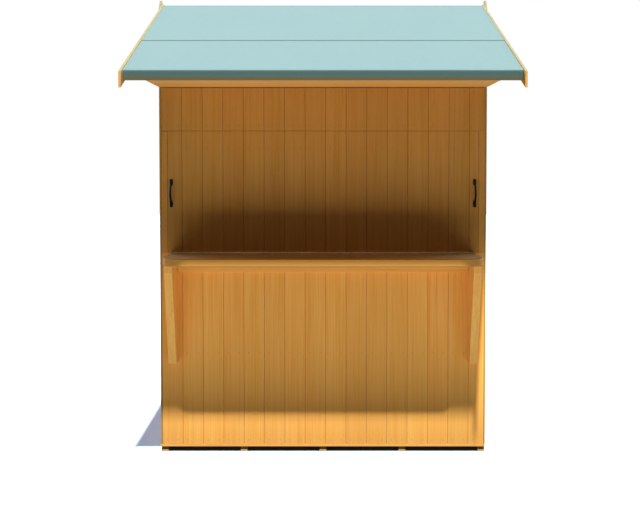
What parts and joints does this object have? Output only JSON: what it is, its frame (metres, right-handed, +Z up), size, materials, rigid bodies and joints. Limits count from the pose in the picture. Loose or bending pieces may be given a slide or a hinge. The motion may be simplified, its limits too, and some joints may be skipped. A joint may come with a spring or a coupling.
{
  "type": "outdoor garden bar",
  "caption": "Boarded garden bar with a hatch front, a rounded serving counter on brackets and an apex roof that reaches forward as a canopy.",
  "frame": {"origin": "on the ground under the middle of the body, on the underside of the middle floor bearer", "axes": "+X to the right along the front, +Y from the front to the back, +Z up; the counter faces -Y"},
  "size_m": [1.924, 1.86, 2.5539],
  "materials": {
    "timber_cladding": "satin",
    "framing_timber": "rough sawn",
    "counter_timber": "satin",
    "trim_timber": "satin",
    "mineral_felt": "matte mineral felt",
    "black_metal": "satin black"
  },
  "bodies": {
    "root": {"canopy_soffit": "framing_timber", "counter_top": "counter_timber", "door_handle": "black_metal", "door_hinges": "black_metal", "door_ledges": "framing_timber", "floor_bearers": "framing_timber", "floor_boards": "framing_timber", "front_and_rear_rails": "framing_timber", "front_eave_batten": "framing_timber", "front_felt": "mineral_felt", "front_header": "timber_cladding", "front_left_stile": "timber_cladding", "front_lower_wall": "timber_cladding", "front_right_stile": "timber_cladding", "front_roof_boards": "framing_timber", "hatch_ledges": "framing_timber", "hatch_panel": "timber_cladding", "left_counter_bracket": "counter_timber", "left_finial": "trim_timber", "left_front_bargeboard": "trim_timber", "left_gable": "timber_cladding", "left_hatch_handle": "black_metal", "left_rear_bargeboard": "trim_timber", "left_wall": "timber_cladding", "opening_rails": "framing_timber", "purlins": "framing_timber", "rear_door": "timber_cladding", "rear_eave_batten": "framing_timber", "rear_felt": "mineral_felt", "rear_header": "timber_cladding", "rear_roof_boards": "framing_timber", "rear_wall_left": "timber_cladding", "rear_wall_right": "timber_cladding", "ridge_beam": "framing_timber", "ridge_felt": "mineral_felt", "right_counter_bracket": "counter_timber", "right_finial": "trim_timber", "right_front_bargeboard": "trim_timber", "right_gable": "timber_cladding", "right_hatch_handle": "black_metal", "right_rear_bargeboard": "trim_timber", "right_wall": "timber_cladding", "side_rails": "framing_timber", "wall_studs": "framing_timber"}
  },
  "joints": []
}
